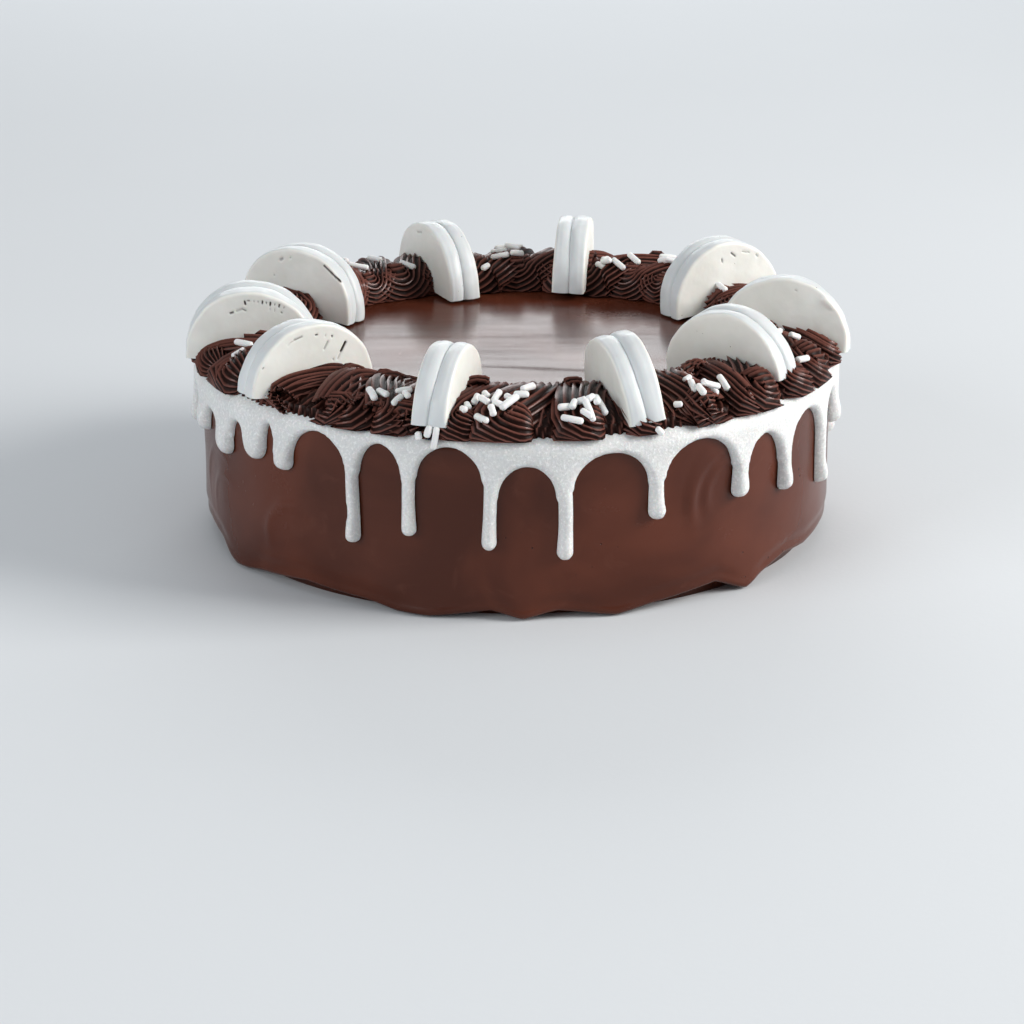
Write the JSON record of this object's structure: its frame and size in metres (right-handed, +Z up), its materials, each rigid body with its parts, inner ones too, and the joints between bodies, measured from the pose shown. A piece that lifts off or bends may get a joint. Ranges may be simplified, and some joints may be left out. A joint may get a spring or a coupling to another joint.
{
  "type": "layer cake",
  "caption": "Round chocolate layer cake, whole and glazed, with white drip icing, a piped chocolate border, sprinkles and white-coated half biscuits standing in it.",
  "frame": {"origin": "centre of the cake's flat underside", "axes": "+Z up through the cake; -Y towards the front of the pictured view, +X to its right"},
  "size_m": [0.2642, 0.2614, 0.1027],
  "materials": {
    "chocolate_glaze": "glossy milk and dark chocolate mirror glaze",
    "white_icing": "pearly white poured icing, softly glossy",
    "chocolate_cream": "satin dark chocolate cream",
    "white_coating": "satin white chocolate coating with small dark nicks"
  },
  "bodies": {
    "root": {"glazed_cake": "chocolate_glaze", "drip_icing": "white_icing", "piped_border": "chocolate_cream", "biscuit_01": "white_coating", "biscuit_02": "white_coating", "biscuit_03": "white_coating", "biscuit_04": "white_coating", "biscuit_05": "white_coating", "biscuit_06": "white_coating", "biscuit_07": "white_coating", "biscuit_08": "white_coating", "biscuit_09": "white_coating", "biscuit_10": "white_coating"}
  },
  "joints": []
}
